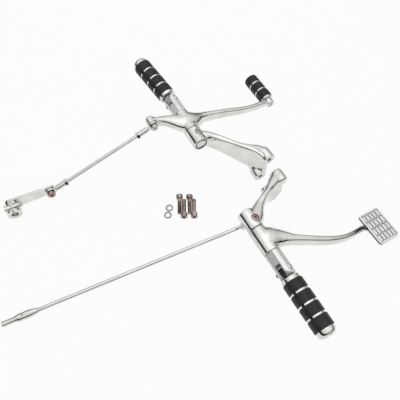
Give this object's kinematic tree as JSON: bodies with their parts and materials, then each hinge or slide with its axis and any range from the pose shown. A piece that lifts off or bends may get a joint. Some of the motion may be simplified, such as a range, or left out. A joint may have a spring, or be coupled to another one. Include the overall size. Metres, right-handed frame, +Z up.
{
  "type": "motorcycle forward controls",
  "caption": "Motorcycle forward controls: a shift lever with toe peg and linkage, a brake pedal with its rod, both on cast brackets with folding footpegs, and loose screws and washers.",
  "frame": {"origin": "on the floor, under the middle of the whole set's bounding box", "axes": "+X forward on the motorcycle, +Y to its left (the shift side), +Z up; both pivot shafts lie along Y"},
  "size_m": [0.6856, 0.6472, 0.0992],
  "materials": {
    "chrome": "polished",
    "rubber": "matte",
    "dark_recess": "satin black",
    "steel_screw": "nickel plated",
    "copper_screw": "copper tinted plating",
    "zinc_rod": "bright plated",
    "bronze": "plain bearing bronze"
  },
  "bodies": {
    "brackets": {"shift_bracket": "chrome", "shift_set_screw": "steel_screw", "shift_peg_support": "chrome", "left_peg_pin": "chrome", "left_peg_clip": "steel_screw", "left_peg_wave_washer": "steel_screw", "brake_bracket": "chrome", "brake_set_screw": "copper_screw", "brake_peg_support": "chrome", "right_peg_pin": "chrome", "right_peg_clip": "steel_screw", "right_peg_wave_washer": "steel_screw", "mounting_screws": "steel_screw", "mounting_washers": "steel_screw"},
    "shift_lever": {"shift_lever": "chrome", "shift_lever_bush_inner": "bronze", "shift_lever_bush_outer": "bronze", "toe_peg_core": "chrome", "toe_peg_ring_1": "rubber", "toe_peg_ring_2": "rubber", "toe_peg_ring_3": "rubber", "toe_peg_bolt": "dark_recess", "front_joint_ball": "steel_screw", "front_joint_bolt": "copper_screw", "front_joint_nut": "zinc_rod"},
    "shift_link": {"front_rod_end": "chrome", "front_jam_nut": "zinc_rod", "shift_rod": "chrome", "rear_jam_nut": "zinc_rod", "rear_rod_end": "chrome"},
    "shift_arm": {"shift_arm": "chrome", "pinch_bolt": "steel_screw", "rear_joint_bolt": "copper_screw", "rear_joint_ball": "steel_screw"},
    "left_footpeg": {"left_peg_core": "chrome", "left_peg_ring_1": "rubber", "left_peg_ring_2": "rubber", "left_peg_ring_3": "rubber", "left_peg_ring_4": "rubber", "left_peg_cap": "chrome", "left_peg_cap_screw": "dark_recess"},
    "brake_pedal": {"brake_pedal": "chrome", "brake_pedal_bush_inner": "bronze", "brake_pedal_bush_outer": "bronze", "brake_pad": "chrome", "pad_screws": "steel_screw", "brake_joint_ball": "steel_screw", "brake_joint_bolt": "copper_screw"},
    "brake_rod": {"brake_rod_end": "chrome", "brake_jam_nut": "zinc_rod", "brake_rod": "chrome", "brake_rod_sleeve": "chrome", "sleeve_pin": "steel_screw"},
    "right_footpeg": {"right_peg_core": "chrome", "right_peg_ring_1": "rubber", "right_peg_ring_2": "rubber", "right_peg_ring_3": "rubber", "right_peg_ring_4": "rubber", "right_peg_cap": "chrome", "right_peg_cap_screw": "dark_recess"}
  },
  "joints": [
    {"name": "shift_pivot", "type": "hinge", "parent": "brackets", "child": "shift_lever", "pos_m": [0.10579, 0.14465, 0.066], "axis": [0, 1, 0], "range_deg": [-20, 15]},
    {"name": "shift_link_front", "type": "hinge", "parent": "shift_lever", "child": "shift_link", "pos_m": [0.04179, 0.15855, 0.08], "axis": [0, 1, 0], "range_deg": [-25, 25]},
    {"name": "shift_link_rear", "type": "hinge", "parent": "shift_link", "child": "shift_arm", "pos_m": [-0.18421, 0.15855, 0.014], "axis": [0.0698, 0.9976, 0], "range_deg": [-40, 40]},
    {"name": "left_footpeg_fold", "type": "hinge", "parent": "brackets", "child": "left_footpeg", "pos_m": [0.10579, 0.20485, 0.066], "axis": [0.7071, 0, 0.7071], "range_deg": [-12, 70]},
    {"name": "brake_pivot", "type": "hinge", "parent": "brackets", "child": "brake_pedal", "pos_m": [0.09979, -0.14475, 0.066], "axis": [0, 1, 0], "range_deg": [-12, 15]},
    {"name": "brake_rod_front", "type": "hinge", "parent": "brake_pedal", "child": "brake_rod", "pos_m": [0.12179, -0.09145, 0.03], "axis": [0, 1, 0], "range_deg": [-20, 20]},
    {"name": "right_footpeg_fold", "type": "hinge", "parent": "brackets", "child": "right_footpeg", "pos_m": [0.09979, -0.20495, 0.066], "axis": [-0.7071, 0, -0.7071], "range_deg": [0, 82]}
  ]
}
